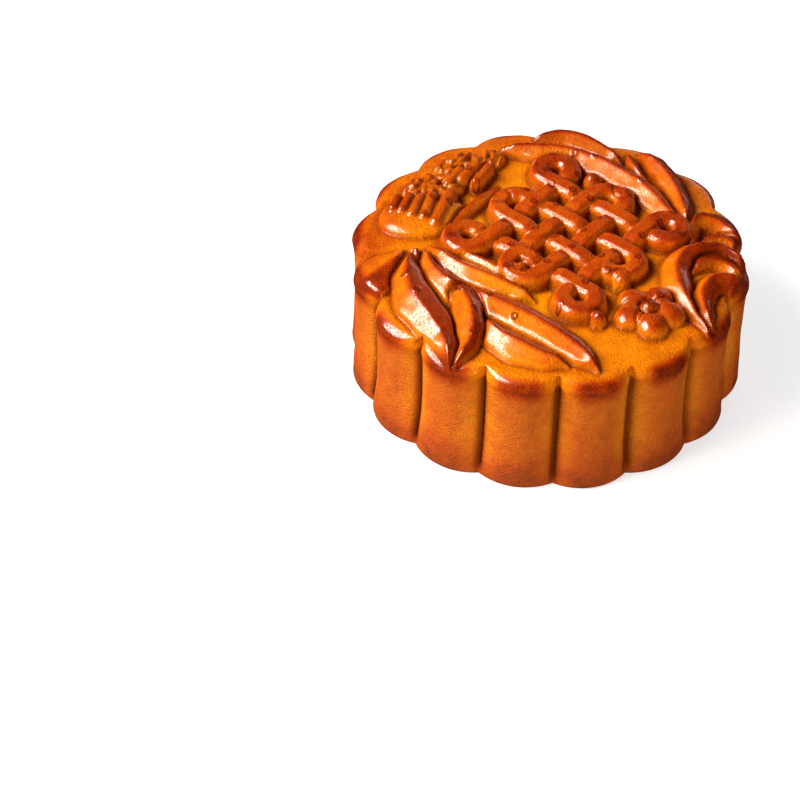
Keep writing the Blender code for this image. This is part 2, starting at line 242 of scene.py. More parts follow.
def beside_line(x, y, line):
    """How far along a line of points (0 to 1), how far from it, and on which side (+1 left)."""
    start = line[:-1]
    step = np.diff(line, axis=0)
    to_x = x[:, None] - start[:, 0]
    to_y = y[:, None] - start[:, 1]
    t = np.clip((to_x * step[:, 0] + to_y * step[:, 1]) / (step ** 2).sum(axis=1), 0.0, 1.0)
    off_x = to_x - t * step[:, 0]
    off_y = to_y - t * step[:, 1]
    distance2 = off_x ** 2 + off_y ** 2
    nearest = distance2.argmin(axis=1)
    rows = np.arange(len(x))
    side = np.sign(step[nearest, 0] * off_y[rows, nearest] - step[nearest, 1] * off_x[rows, nearest])
    run = (nearest + t[rows, nearest]) / len(step)
    return run, np.sqrt(distance2[rows, nearest]), np.where(side == 0, 1.0, side)


def curve_through(points, values, steps=8):
    """A smooth curve through points, with a value carried along it."""
    points = np.array(points, dtype=float)
    last = len(points) - 1
    line = []
    carried = []
    for span in range(last):
        p0, p1, p2, p3 = (points[min(max(span + k, 0), last)] for k in (-1, 0, 1, 2))
        for step in range(steps + (span == last - 1)):
            t = step / steps
            line.append(0.5 * (2 * p1 + (p2 - p0) * t + (2 * p0 - 5 * p1 + 4 * p2 - p3) * t ** 2
                               + (3 * p1 - p0 - 3 * p2 + p3) * t ** 3))
            ease = t * t * (3 - 2 * t)
            carried.append(values[span] + (values[span + 1] - values[span]) * ease)
    return np.array(line), np.array(carried)


print("a curve through 3 points has", len(curve_through([(0, 0), (1, 1), (2, 0)], [1, 2, 1])[0]))

# %% [markdown]
# The leaves, as numbers
#
# Each leaf is a line of a few points with half a width at each. The ridge says where its fold
# runs, from -1 at its right edge to +1 at its left. The last two numbers are the heights of the
# fold and of the edge above the plate.

# %% Leaf lines and heights
LEAVES = {
    "far_left": ([(-25.6, -2.2), (-29.2, -4.6), (-33.2, -7.4), (-37.0, -11.4)],
        [1.0, 3.4, 4.8, 4.6], 0.15, 2.6, 0.9),
    "front_long": ([(-25.2, -2.5), (-23.2, -9.5), (-18.5, -15.2), (-12.0, -18.6), (-5.5, -22.6),
         (0.5, -27.4), (4.8, -31.6), (8.0, -35.6)],
        [0.6, 2.5, 3.0, 3.1, 3.2, 3.0, 2.4, 0.4], 0.25, 3.0, 1.4),
    "front_upper": (
        [(-24.0, -1.0), (-20.3, -6.2), (-15.8, -9.7), (-11.0, -12.2), (-7.0, -14.4), (-3.6, -16.6)],
        [0.5, 2.0, 2.6, 2.6, 1.9, 0.3], 0.25, 2.8, 1.2),
    "front_slim": ([(-21.5, -0.2), (-17.0, -3.9), (-12.5, -6.9), (-8.6, -9.8), (-5.0, -13.2)],
        [0.4, 1.1, 1.3, 1.1, 0.3], 0.0, 2.7, 1.5),
    "front_low": ([(-14.0, -22.6), (-11.6, -27.2), (-7.4, -30.6), (-2.6, -32.8), (2.4, -34.6)],
        [0.7, 2.5, 3.1, 2.4, 0.3], 0.30, 2.8, 0.8),
    "short": ([(-17.8, -15.8), (-16.8, -20.0), (-16.3, -25.0), (-17.0, -29.8), (-19.3, -34.0)],
        [2.0, 2.8, 2.6, 1.9, 0.3], 0.3, 3.2, 1.7),
    "curved": ([(-28.2, -4.2), (-28.4, -10.8), (-26.9, -17.2), (-23.9, -22.6), (-21.4, -28.2),
         (-20.4, -34.0)],
        [0.8, 3.2, 4.2, 3.9, 2.5, 0.3], 0.0, 3.25, 1.0),
    "right_outer": ([(37.7, -2.6), (34.1, -0.2), (30.3, -0.6), (26.8, -2.5), (24.7, -6.2), (24.6, -11.1),
         (26.4, -16.7), (28.2, -19.9), (30.2, -24.0)],
        [1.8, 2.3, 2.5, 2.6, 2.9, 2.8, 1.9, 1.2, 0.3], 0.15, 3.1, 1.0),
    "right_inner": (
        [(37.4, -12.0), (36.3, -10.2), (34.0, -9.6), (31.3, -10.9), (29.7, -14.2), (29.9, -18.4),
         (31.0, -22.4)],
        [2.4, 2.7, 2.7, 2.4, 2.2, 1.5, 0.3], 0.0, 3.1, 1.0),
    "right_middle": ([(28.1, -7.0), (30.6, -4.5), (33.8, -3.9), (36.8, -6.1)],
        [0.5, 1.6, 2.0, 1.4], 0.0, 2.2, 0.6),
    "right_arch": ([(28.4, 1.2), (28.9, 5.9), (30.9, 7.9), (33.5, 7.9), (35.8, 6.2), (37.4, 3.9)],
        [0.9, 1.7, 2.4, 2.6, 2.5, 1.6], 0.15, 3.1, 1.0),
    "right_low": ([(30.2, 1.5), (33.1, 2.9), (35.9, 2.4), (38.0, 0.0)],
        [0.5, 1.7, 2.0, 1.4], 0.1, 2.2, 0.6),
    "back_long": ([(-9.0, 30.6), (-2.4, 29.8), (5.6, 27.9), (13.2, 23.4), (19.4, 17.4), (24.0, 10.0),
         (26.8, 2.6)],
        [0.8, 2.4, 2.9, 3.1, 3.0, 2.2, 0.3], 0.28, 3.1, 0.8),
    "back_rim": ([(-3.0, 33.2), (2.6, 34.6), (7.8, 33.2), (12.2, 30.2), (15.6, 26.6)],
        [0.6, 2.3, 2.6, 2.1, 0.3], 0.35, 3.3, 1.2),
    "back_side": ([(19.9, 30.3), (22.8, 25.9), (25.3, 20.5), (27.1, 13.9), (27.7, 6.6)],
        [0.7, 2.1, 2.4, 2.0, 0.3], 0.1, 3.2, 1.3),
    "back_slim": ([(17.3, 30.0), (17.7, 27.0), (19.0, 23.6), (21.0, 20.8)],
        [0.7, 1.1, 1.0, 0.3], 0.0, 2.4, 1.1),
    "stem": ([(-19.4, 4.2), (-16.6, 9.6), (-13.2, 14.4), (-10.2, 18.6)],
        [0.6, 1.2, 1.2, 0.5], 0.0, 2.3, 1.2),
}
print(len(LEAVES), "leaves, from", next(iter(LEAVES)))

# %% [markdown]
# The flower heads are low mounds, with finger petals lying side by side on them. Each mound has
# a centre, half a length, half a width, a turn in degrees and a height. Each finger has a foot,
# a tip and half a width. Behind the fingers the mounds carry fine winding stamens. They could be
# drawn one by one, but a noise stretched in one direction is as close and uneven as they are.

# %% Flower heads, fingers and stamens
FLOWER_PADS = [
    ((-25.4, 9.0), 9.2, 6.8, 8.0, 2.2),
    ((-23.4, 17.4), 6.8, 5.0, 20.0, 2.5),
    ((-17.8, 23.8), 6.8, 5.0, 42.0, 2.4),
    ((-12.0, 27.0), 3.8, 3.0, 30.0, 2.0),
]
FINGERS = [
    ((-31.7, 9.8), (-30.7, 13.2), 0.90),
    ((-29.9, 9.2), (-28.4, 13.4), 1.02),
    ((-27.7, 7.7), (-26.2, 12.8), 1.12),
    ((-25.3, 7.0), (-23.6, 13.4), 1.25),
    ((-22.9, 5.6), (-20.0, 14.2), 1.45),
    ((-20.4, 17.6), (-18.0, 21.6), 1.05),
    ((-17.7, 19.0), (-14.6, 23.9), 1.15),
    ((-14.6, 18.4), (-12.2, 22.6), 1.25),
]
FINGER_HEIGHT = 3.1
FINGER_FOOT_DROP = 0.1
STAMEN_HEIGHT = 0.72
STAMEN_SIZE = 1.45
STAMEN_STRETCH = 2.3
STAMEN_TURN = math.radians(62.0)
STAMENS_FROM = 11.5
print(len(FLOWER_PADS), "mounds and", len(FINGERS), "finger petals")

# %% [markdown]
# The middle of the cake holds a knot: four strands each way, woven over and under, with round
# turns at their ends. A small blossom and a few round beads fill the places beside it.

# %% Knot, blossom and beads
KNOT_CENTRE = (3.4, 2.6)
KNOT_TURN = math.radians(-40.0)
STRAND_COUNT = 4
MIDDLE_STRAND = (STRAND_COUNT - 1) / 2
STRAND_PITCH = 7.3
STRAND_WIDTH = 3.8
STRAND_SWELL = 0.15
STRAND_HEIGHT = 3.1
STRAND_DIP = 1.1
STRAND_LAP = 0.3
STRAND_STEPS = 49
TURN_STEPS = 25
TURN_BACK_REACH = 2.0
EAR_RADIUS = 3.2
BLOSSOM_CENTRE = (18.6, -19.3)
BLOSSOM_TURN = math.radians(62.0)
PETAL_COUNT = 5
PETAL_RADIUS = 3.5
PETAL_SLIMNESS = 0.92
PETAL_RING = 3.9
PETAL_HEIGHT = 2.7
HEART_RADIUS = 2.0
BEAD_HEIGHT = 3.1
BEADS = [((15.4, 15.4), 2.3), ((9.2, 20.2), 2.0), ((-9.6, 12.9), 1.9),
         ((-6.0, -8.2), 1.6), ((13.6, -11.2), 1.9), ((8.6, -22.4), 1.6)]
print(len(BEADS), "beads and a blossom of", PETAL_COUNT, "petals")

# %% Weave the knot


def knot_place(u, v):
    """Places on the plate from the knot's own two directions."""
    return np.column_stack([KNOT_CENTRE[0] + u * math.cos(KNOT_TURN) - v * math.sin(KNOT_TURN),
                            KNOT_CENTRE[1] + u * math.sin(KNOT_TURN) + v * math.cos(KNOT_TURN)])


def woven_height(run, along_u, line):
    """Height of a strand along its run: low where it passes under another."""
    dip = 0.0
    for crossing in range(STRAND_COUNT):
        if (crossing + line) % 2 == (0 if along_u else 1):
            away = abs(run - (crossing - MIDDLE_STRAND) * STRAND_PITCH) / (0.5 * STRAND_PITCH)
            dip = max(dip, STRAND_DIP * math.cos(min(away, 1.0) * math.pi / 2))
    return STRAND_HEIGHT - dip


def straight_strands(outer):
    """The line and the heights of the straight strands, each way."""
    for line in range(STRAND_COUNT):
        offset = (line - MIDDLE_STRAND) * STRAND_PITCH
        end = outer + (EAR_RADIUS if line in (0, 3) else TURN_BACK_REACH) + STRAND_LAP
        runs = np.linspace(-end, end, STRAND_STEPS)
        for along_u in (True, False):
            points = knot_place(runs, offset) if along_u else knot_place(offset, runs)
            yield points, np.array([woven_height(run, along_u, line) for run in runs])


def round_turns(outer):
    """The line and the heights of the half turn and the corner loop on each side."""
    turns = [((outer + TURN_BACK_REACH, 0.0), 0.5 * STRAND_PITCH, 90.0),
             ((outer + EAR_RADIUS, outer + EAR_RADIUS), EAR_RADIUS, 180.0)]
    for side in range(4):
        quarter = side * math.pi / 2
        for (out, across), radius, stop in turns:
            turn = np.radians(np.linspace(-90.0, stop, TURN_STEPS))
            u = out + radius * np.cos(turn)
            v = across + radius * np.sin(turn)
            points = knot_place(u * math.cos(quarter) - v * math.sin(quarter),
                                u * math.sin(quarter) + v * math.cos(quarter))
            yield points, np.full(TURN_STEPS, STRAND_HEIGHT)


knot_reach = MIDDLE_STRAND * STRAND_PITCH
KNOT = [*straight_strands(knot_reach), *round_turns(knot_reach)]
print(len(KNOT), "strands and turns")

# %% [markdown]
# Laying a leaf
#
# Every form gives a height above the plate, and the forms are laid one after another. Each also
# gives its toast, from 0 to 1, which says how strongly it will brown; on a leaf it also holds
# painted shade. A leaf covers what lies under it and presses a thin line round its edge, as a
# carved mould does. It has a rounded fold, hollow flanks, a back edge that stays high, and a tip
# that gets lower as it gets thin. The fold is toasted as the highest part, and the flank behind
# it, which faces away from the light, is toasted with it as painted shade. The flank in front,
# towards the light, stays gold as painted light.

# %% Lay a leaf
FOLD_TOP, FOLD_SPAN, FOLD_SOFTNESS = 1.004, 0.915, 0.008
FLANK_HOLLOW, FLANK_ROUND = 1.4, 2.4
FOLD_SHARE, ROUND_SHARE = 0.84, 0.16
END_HEIGHT, MIDDLE_GAIN = 0.72, 0.28
THIN_TIP_SHARE, THIN_WIDTHS = 0.5, (0.2, 1.6)
BACK_EDGE_SHARE, AT_FOLD = 0.4, (-0.1, 0.1)
EDGE_DROP, NEAR_EDGE = 0.35, (0.75, 1.0)
LEAF_DRAFT, DRAFT_PER_HEIGHT = 0.25, 0.10
DENT_DEPTH, DENT_WIDTH, DENT_FROM = 0.9, 0.26, (0.2, 1.2)
LINE_DEPTH, LINE_WIDTH = 0.18, 0.4
LIT_FLANK_PAINTED_LIGHT = 0.24


def near(x, y, line, margin):
    """Which points lie in a line's box plus a margin."""
    low = line.min(axis=0) - margin
    high = line.max(axis=0) + margin
    return np.flatnonzero((x > low[0]) & (x < high[0]) & (y > low[1]) & (y < high[1]))


def lay_leaf(height, toast_and_shade, x, y, points, widths, ridge, ridge_height, edge_height):
    """Lay a folded, swollen leaf."""
    line, half_widths = curve_through(points, widths)
    pick = near(x, y, line, max(widths) + 2.0)
    run, distance, side = beside_line(x[pick], y[pick], line)
    width = np.interp(run, np.linspace(0, 1, len(line)), half_widths)
    across = np.clip(side * distance / width, -1.0, 1.0)
    fall = np.where(across < ridge, (ridge - across) / (ridge + 1), (across - ridge) / (1 - ridge))
    crest = np.maximum((FOLD_TOP - np.sqrt(fall ** 2 + FOLD_SOFTNESS)) / FOLD_SPAN, 0.0)
    rise_height = ridge_height - edge_height
    edge = edge_height + BACK_EDGE_SHARE * rise_height * ramp(*AT_FOLD, across - ridge)
    folded = FOLD_SHARE * crest ** FLANK_HOLLOW + ROUND_SHARE * (1 - fall ** FLANK_ROUND)
    form = edge + (ridge_height - edge) * folded - EDGE_DROP * ramp(*NEAR_EDGE, fall)
    swell = END_HEIGHT + MIDDLE_GAIN * np.sin(math.pi * np.minimum(run * 1.15 + 0.12, 1.0))
    swell *= THIN_TIP_SHARE + (1 - THIN_TIP_SHARE) * ramp(*THIN_WIDTHS, width)
    outside = distance - width
    draft = LEAF_DRAFT + DRAFT_PER_HEIGHT * edge_height
    cover = 1 - ramp(-0.3, draft, outside)
    below = height[pick]
    pressed = DENT_DEPTH * soft_line(outside - draft, DENT_WIDTH) * ramp(*DENT_FROM, below)
    pressed += LINE_DEPTH * soft_line(outside - draft, LINE_WIDTH)
    height[pick] = (below - pressed) * (1 - cover) + swell * form * cover
    # Painted shade and light: the flank behind the fold is toasted dark, and the lit front flank stays
    # gold.
    fold_toast_and_painted_shade = ramp(ridge - 0.42, ridge + 0.04, across)
    shade = LIT_FLANK_PAINTED_LIGHT + (1 - LIT_FLANK_PAINTED_LIGHT) * fold_toast_and_painted_shade
    toast_and_shade[pick] += (shade - toast_and_shade[pick]) * cover


test_x, test_y = np.array(LEAVES["curved"][0]).T
test_height = 0 * test_x
lay_leaf(test_height, 0 * test_x, test_x, test_y, *LEAVES["curved"])
print("the curved leaf, in mm along its line:", test_height.round(1))

# %% [markdown]
# Raising strands, petals and beads
#
# These stand up out of what is there, so the higher of the two is kept, and its toast with it.
# A strand has a flat or crowned top with soft bevels. A mound is half an ellipsoid, or flatter.
# Both press a faint line round their foot, where the mould's cutter went deepest.

# %% Raise a strand
STRAND_BEVEL, STRAND_SIDE = (0.52, 1.0), (-0.10, 0.45)
FOOT_LINE_DEPTH, FOOT_LINE_PLACE, FOOT_LINE_WIDTH = 0.25, 0.5, 0.3
STANDS_CLEAR = (0.6, 1.6)
BEVEL_TOAST_LOSS, BEVEL_TOAST = 0.5, (0.62, 0.95)


def rise(height, toast_and_shade, pick, form, shade):
    """Keep the higher of the form and what is there, and its toast with it."""
    share = ramp(0.0, 0.5, form - height[pick])
    toast_and_shade[pick] += (shade - toast_and_shade[pick]) * share
    height[pick] = np.maximum(height[pick], form)


def lay_strand(height, toast_and_shade, x, y, line, tops, half, bevel_drop, crown, shade):
    """Raise a strand with a crowned top and soft bevels."""
    pick = near(x, y, line, half + 1.5)
    run, distance = beside_line(x[pick], y[pick], line)[:2]
    top = np.interp(run, np.linspace(0, 1, len(line)), tops)
    across = np.clip(distance / half, 0.0, 1.0)
    form = top - crown * across ** 2 - bevel_drop * ramp(*STRAND_BEVEL, across)
    outside = distance - half
    cover = 1 - ramp(*STRAND_SIDE, outside)
    below = height[pick]
    foot_line = soft_line(outside - FOOT_LINE_PLACE, FOOT_LINE_WIDTH)
    height[pick] = below - FOOT_LINE_DEPTH * foot_line * ramp(*STANDS_CLEAR, form - below)
    top_shade = shade * (1 - BEVEL_TOAST_LOSS * ramp(*BEVEL_TOAST, across))
    rise(height, toast_and_shade, pick, form * cover, top_shade)


print("strands of", 2 * (STRAND_WIDTH / 2 + STRAND_SWELL), "mm")

# %% Raise a mound, and lay the stamens
MOUND_LINE_DEPTH, MOUND_LINE_PLACE, MOUND_LINE_WIDTH = 0.45, 1.03, 0.3
STAMEN_SHARPNESS, STAMEN_VALLEY, STAMEN_TOAST = 3.4, 0.4, 0.42
ON_MOUND = (0.6, 1.5)


def lay_mound(height, toast_and_shade, x, y, centre, half_length, half_width, turn, top, shade, flatness=1.0):
    """Raise a mound, toasted towards its top."""
    pick = near(x, y, np.array([centre]), half_length + 1.0)
    dx = x[pick] - centre[0]
    dy = y[pick] - centre[1]
    along = (dx * math.cos(turn) + dy * math.sin(turn)) / half_length
    across = (dy * math.cos(turn) - dx * math.sin(turn)) / half_width
    reach = along ** 2 + across ** 2
    dome = np.sqrt(np.clip(1 - reach ** flatness, 0.0, 1.0))
    past_edge = (np.sqrt(reach) - MOUND_LINE_PLACE) * half_width
    height[pick] -= MOUND_LINE_DEPTH * soft_line(past_edge, MOUND_LINE_WIDTH)
    rise(height, toast_and_shade, pick, top * dome, shade * ramp(0.2, 1.0, dome))


def lay_stamens(height, toast_and_shade, x, y):
    """Add fine winding ridges to the backs of the mounds."""
    pick = np.flatnonzero((height > ON_MOUND[0]) & (y > STAMENS_FROM))
    along = x[pick] * math.cos(STAMEN_TURN) + y[pick] * math.sin(STAMEN_TURN)
    across = y[pick] * math.cos(STAMEN_TURN) - x[pick] * math.sin(STAMEN_TURN)
    winding = soft_noise(along / STAMEN_STRETCH, across, 0 * along, STAMEN_SIZE, 31.0)
    ridges = np.clip(1 - STAMEN_SHARPNESS * np.abs(winding), -STAMEN_VALLEY, 1.0)
    share = ramp(*ON_MOUND, height[pick]) * ramp(STAMENS_FROM, STAMENS_FROM + 2.0, y[pick])
    height[pick] += STAMEN_HEIGHT * (ridges - STAMEN_VALLEY) * share
    toast_and_shade[pick] += STAMEN_TOAST * ridges * share * (1 - toast_and_shade[pick])


middle = np.zeros(1)
test_height = np.zeros(1)
lay_mound(test_height, np.zeros(1), middle, middle, (0.0, 0.0), 2.0, 2.0, 0.0, BEAD_HEIGHT, 1.0)
print("a bead is", test_height.round(2), "mm high")

# %% [markdown]
# The whole relief
#
# The order matters: mounds first, then stamens and fingers on them, then the leaves that cover
# their edges, and last the knot, the blossom and the beads, which stand clear of the rest.

# %% Lay every form


def relief(x, y):
    """Height of the ornament above the plate in millimetres, and its toast."""
    height = np.zeros_like(x)
    toast_and_shade = np.zeros_like(x)
    for centre, half_length, half_width, turn, top in FLOWER_PADS:
        lay_mound(height, toast_and_shade, x, y, centre, half_length, half_width, math.radians(turn), top,
                  shade=0.22, flatness=1.9)
    lay_stamens(height, toast_and_shade, x, y)
    for foot, tip, half_width in FINGERS:
        line = np.array([foot, tip])
        tops = np.array([FINGER_HEIGHT - FINGER_FOOT_DROP, FINGER_HEIGHT])
        lay_strand(height, toast_and_shade, x, y, line, tops, half_width, bevel_drop=0.5, crown=0.5, shade=0.62)
    for leaf in LEAVES.values():
        lay_leaf(height, toast_and_shade, x, y, *leaf)
    for line, tops in KNOT:
        lay_strand(height, toast_and_shade, x, y, line, tops, STRAND_WIDTH / 2 + STRAND_SWELL,
                   bevel_drop=0.80, crown=0.06, shade=1.0)
    for index in range(PETAL_COUNT):
        turn = BLOSSOM_TURN + math.tau * index / PETAL_COUNT
        centre = (BLOSSOM_CENTRE[0] + PETAL_RING * math.cos(turn),
                  BLOSSOM_CENTRE[1] + PETAL_RING * math.sin(turn))
        lay_mound(height, toast_and_shade, x, y, centre, PETAL_RADIUS, PETAL_SLIMNESS * PETAL_RADIUS, turn,
                  PETAL_HEIGHT, shade=0.85)
    for centre, radius in [(BLOSSOM_CENTRE, HEART_RADIUS), *BEADS]:
        lay_mound(height, toast_and_shade, x, y, centre, radius, radius, 0.0, BEAD_HEIGHT, shade=1.0)
    return height, toast_and_shade


print("relief in the middle:", round(float(relief(middle, middle)[0][0]), 2), "mm")

# %% [markdown]
# Wrapping the top over the shoulder
#
# On the flat part a point's distance from the middle is simply scaled. Past the plate's edge,
# the same distance becomes an angle on the round shoulder, so cells stay even in size there.
# The rim sags a little and the grooves cut into it. The ornament's edges wander slightly, and
# it fades out towards the outline, where the mould's wall begins.

# %% Place a point of the top
PLATE_SHARE = 0.867
RIM_SAG = 0.6
SAG_FROM = 28.0
WANDER = 0.16
WANDER_SIZE = 3.2
GROOVE_CUT = 0.9
GROOVE_CUT_WIDTH = 0.55
GROOVE_CUT_TURN = (0.3, 1.0)
ORNAMENT_FADE_TURN = (0.8, 1.5)


def place_top(reach, angle):
    """Plan position, bare height, relief and toast of points on the plate and shoulder."""
    edge = outline_radius(angle, GROOVE_RADIUS)
    turn = np.clip((reach - PLATE_SHARE) / (1 - PLATE_SHARE), 0.0, 1.0) * math.pi / 2
    radius = np.where(reach < PLATE_SHARE, PLATE_RADIUS * reach / PLATE_SHARE,
                      PLATE_RADIUS + (edge - PLATE_RADIUS) * np.sin(turn))
    bare = PLATE_HEIGHT - SHOULDER_HEIGHT * (1 - np.cos(turn))
    bare -= RIM_SAG * ramp(SAG_FROM, PLATE_RADIUS, radius) * np.cos(turn)
    notch = soft_line(groove_distance(angle, radius), GROOVE_CUT_WIDTH)
    radius = radius - GROOVE_CUT * notch * ramp(*GROOVE_CUT_TURN, turn)
    x = radius * np.cos(angle)
    y = radius * np.sin(angle)
    wander_x = WANDER * soft_noise(x, y, 0 * x, WANDER_SIZE, 21.0)
    wander_y = WANDER * soft_noise(x, y, 0 * x, WANDER_SIZE, 47.0)
    raised, toast_and_shade = relief(x + wander_x, y + wander_y)
    kept = 1 - ramp(*ORNAMENT_FADE_TURN, turn)
    return x, y, bare, raised * kept, toast_and_shade * kept


print("a point of the rim:", np.concatenate(place_top(np.ones(1), np.zeros(1))[:3]).round(2))

# %% [markdown]
# More points where the surface is steep
#
# An even grid cuts the sharp sides of the ornament into steps. So every point moves a few times
# towards the average of its four neighbours, and a neighbour across a steep place pulls harder.
# The grid draws together there and stays open on the flat parts, with no points added.

# %% Read the top as a grid
side_count = TOP_CELLS + 1
column = np.rint((square_x[on_top] + 1) / 2 * TOP_CELLS).astype(int)
row = np.rint((square_y[on_top] + 1) / 2 * TOP_CELLS).astype(int)
grid_order = np.empty((side_count, side_count), dtype=int)
grid_order[row, column] = np.arange(len(row))
flat_x = (reach[on_top] * np.cos(angle[on_top]))[grid_order]
flat_y = (reach[on_top] * np.sin(angle[on_top]))[grid_order]
print("the top is a grid of", side_count, "by", side_count, "points")

# %% Draw the grid together at steep places
PULL_STRENGTHS = (0.8, 1.2)
PULL_ROUNDS = 6
STEEPEST = 2.5
PULL_SHARE = 0.8


def pull_together(flat_x, flat_y, surface, strength):
    """Move the inner grid points towards the neighbours across steep places."""
    step = 2.0 / TOP_CELLS * PLATE_RADIUS / PLATE_SHARE
    pull_row = 1 + strength * np.minimum(np.abs(np.diff(surface, axis=0)) / step, STEEPEST)
    pull_column = 1 + strength * np.minimum(np.abs(np.diff(surface, axis=1)) / step, STEEPEST)
    total = pull_row[:-1, 1:-1] + pull_row[1:, 1:-1] + pull_column[1:-1, :-1] + pull_column[1:-1, 1:]
    for count in range(PULL_ROUNDS):
        for values in (flat_x, flat_y):
            up = pull_row[:-1, 1:-1] * values[:-2, 1:-1]
            down = pull_row[1:, 1:-1] * values[2:, 1:-1]
            left = pull_column[1:-1, :-1] * values[1:-1, :-2]
            right = pull_column[1:-1, 1:] * values[1:-1, 2:]
            average = (up + down + left + right) / total
            values[1:-1, 1:-1] += PULL_SHARE * (average - values[1:-1, 1:-1])


def top_from_grid(flat_x, flat_y):
    """Positions on the top from the flat grid, as square arrays."""
    parts = place_top(np.hypot(flat_x, flat_y).ravel(), np.arctan2(flat_y, flat_x).ravel())
    return [part.reshape(flat_x.shape) for part in parts]


for strength in PULL_STRENGTHS:
    plan_x, plan_y, bare, raised, toast_and_shade = top_from_grid(flat_x, flat_y)
    pull_together(flat_x, flat_y, raised, strength)
plan_x, plan_y, bare, raised, toast_and_shade = top_from_grid(flat_x, flat_y)
print("relief up to", round(float(raised.max()), 2), "mm")

# %% [markdown]
# Small faults of baking
#
# Bubbles of air rise in the egg wash and leave little burst blisters, mostly on the high parts.
# Each is a low ring with a pit. They are dropped at random places, from a fixed seed, and a
# place is kept if it is high enough and has no other blister near. The plate sinks a little
# between the strands of the knot.

# %% Burst blisters
random.seed(16)
BLISTER_TOTAL = 58
BLISTER_FIELD = 33.0
BLISTER_GAP = 3.2
HIGH_ENOUGH = 2.5
LOW_CHANCE = 0.02
FAR_AWAY = 9.0
RING_HEIGHT, RING_RADIUS, RING_WIDTH = 0.20, 0.52, 0.24
PIT_DEPTH, PIT_WIDTH = 0.10, 0.28

blisters = []
while len(blisters) < BLISTER_TOTAL:
    turn = random.uniform(0, math.tau)
    out = BLISTER_FIELD * math.sqrt(random.random())
    spot = (out * math.cos(turn), out * math.sin(turn))
    level = float(relief(np.array([spot[0]]), np.array([spot[1]]))[0][0])
    apart = min((math.dist(spot, other) for other in blisters), default=FAR_AWAY)
    if apart > BLISTER_GAP and (level > HIGH_ENOUGH or random.random() < LOW_CHANCE):
        blisters.append(spot)

to_blister = np.full(plan_x.shape, FAR_AWAY)
for spot_x, spot_y in blisters:
    np.minimum(to_blister, np.hypot(plan_x - spot_x, plan_y - spot_y), out=to_blister)
raised += (RING_HEIGHT * soft_line(to_blister - RING_RADIUS, RING_WIDTH)
           - PIT_DEPTH * soft_line(to_blister, PIT_WIDTH))
print(len(blisters), "blisters")

# %% Sink the plate round the knot
SINK_DEPTH = 0.55
SINK_REACH = (13.0, 19.0)
NOT_RAISED = (0.1, 1.5)
from_knot = np.hypot(plan_x - KNOT_CENTRE[0], plan_y - KNOT_CENTRE[1])
sunk = SINK_DEPTH * (1 - ramp(*SINK_REACH, from_knot)) * (1 - ramp(*NOT_RAISED, raised))
top_z = bare + raised - sunk
print("the plate sinks up to", round(float(sunk.max()), 2), "mm")

# %% [markdown]
# The wall
#
# The wall drops from the shoulder in rings. It is not quite straight: the dough bulges under
# the shoulder, draws in below it, and spreads at the foot, where the grooves get shallower.

# %% Wall and base
WAIST_HEIGHTS = [0.0, 1.0, 4.0, 9.0, 14.0, 19.0, 22.5, 24.5, 25.4]
WAIST_INSETS = [0.15, 0.05, 0.10, 0.30, 0.46, 0.46, 0.36, 0.18, 0.0]
GROOVE_CUT_FADE = (0.0, 3.0)
BASE_ROUND = 0.9

wall_angle = angle[~on_top]
wall_ring = ring_number[~on_top]
heights = np.array([WALL_TOP] + WALL_HEIGHTS + [0.0] * len(BASE_INSETS))
wall_z = heights[wall_ring]
flare = np.minimum(wall_z / BASE_FLARE_HEIGHT, 1.0)
groove_radius = GROOVE_RADIUS_AT_BASE + (GROOVE_RADIUS - GROOVE_RADIUS_AT_BASE) * flare
wall_groove = groove_distance(wall_angle, LOBE_RADIUS)
wall_radius = outline_radius(wall_angle, groove_radius)
wall_radius -= np.interp(wall_z, WAIST_HEIGHTS, WAIST_INSETS)
wall_radius -= GROOVE_CUT * soft_line(wall_groove, GROOVE_CUT_WIDTH) * ramp(*GROOVE_CUT_FADE, wall_z)
rounding = np.clip(1 - wall_z / BASE_ROUND, 0.0, 1.0)
wall_radius -= BASE_ROUND * (1 - np.sqrt(1 - rounding ** 2))
inset = np.array([0.0] * (len(WALL_HEIGHTS) + 1) + BASE_INSETS)
wall_radius -= inset[wall_ring]
print("the wall is", round(float(wall_radius.max()), 2), "mm from the middle at most")

# %% [markdown]
# An uneven skin
#
# Top and wall are put together, and a broad and a fine noise swell the whole skin by a tenth of
# a millimetre or so. The skin is drawn in by about as much, so that it stays inside the solid.

# %% Join and swell the skin
BROAD_SWELL, BROAD_SIZE = 0.13, 7.0
FINE_SWELL, FINE_SIZE = 0.05, 2.4
SKIN_INSET = 0.16
TOP_SWELL, TOP_INSET = 0.8, 0.08
NEAR_WALL, ABOVE_BASE, NEAR_TOP = (25.0, 37.0), (-0.1, 2.0), (22.0, 27.0)

final = np.empty((point_count, 3))
top_rows = np.flatnonzero(on_top)[grid_order]
final[top_rows] = np.stack([plan_x, plan_y, top_z], axis=-1)
final[~on_top] = np.column_stack([wall_radius * np.cos(wall_angle),
                                  wall_radius * np.sin(wall_angle), wall_z])

swollen = (BROAD_SWELL * soft_noise(*final.T, BROAD_SIZE, 5.0)
           + FINE_SWELL * soft_noise(*final.T, FINE_SIZE, 9.0))
radius = np.hypot(final[:, 0], final[:, 1])
outward = ramp(*NEAR_WALL, radius) * ramp(*ABOVE_BASE, final[:, 2])
shift = (swollen - SKIN_INSET) * outward / np.maximum(radius, 1.0)
final[:, 0] += final[:, 0] * shift
final[:, 1] += final[:, 1] * shift
final[:, 2] += (TOP_SWELL * swollen - TOP_INSET) * ramp(*NEAR_TOP, final[:, 2])
ceiling = cad_box[1][2] / MM
final[:, 2] = np.minimum(final[:, 2], ceiling)
print("highest point", round(float(final[:, 2].max()), 2), "mm, solid", round(ceiling, 2))

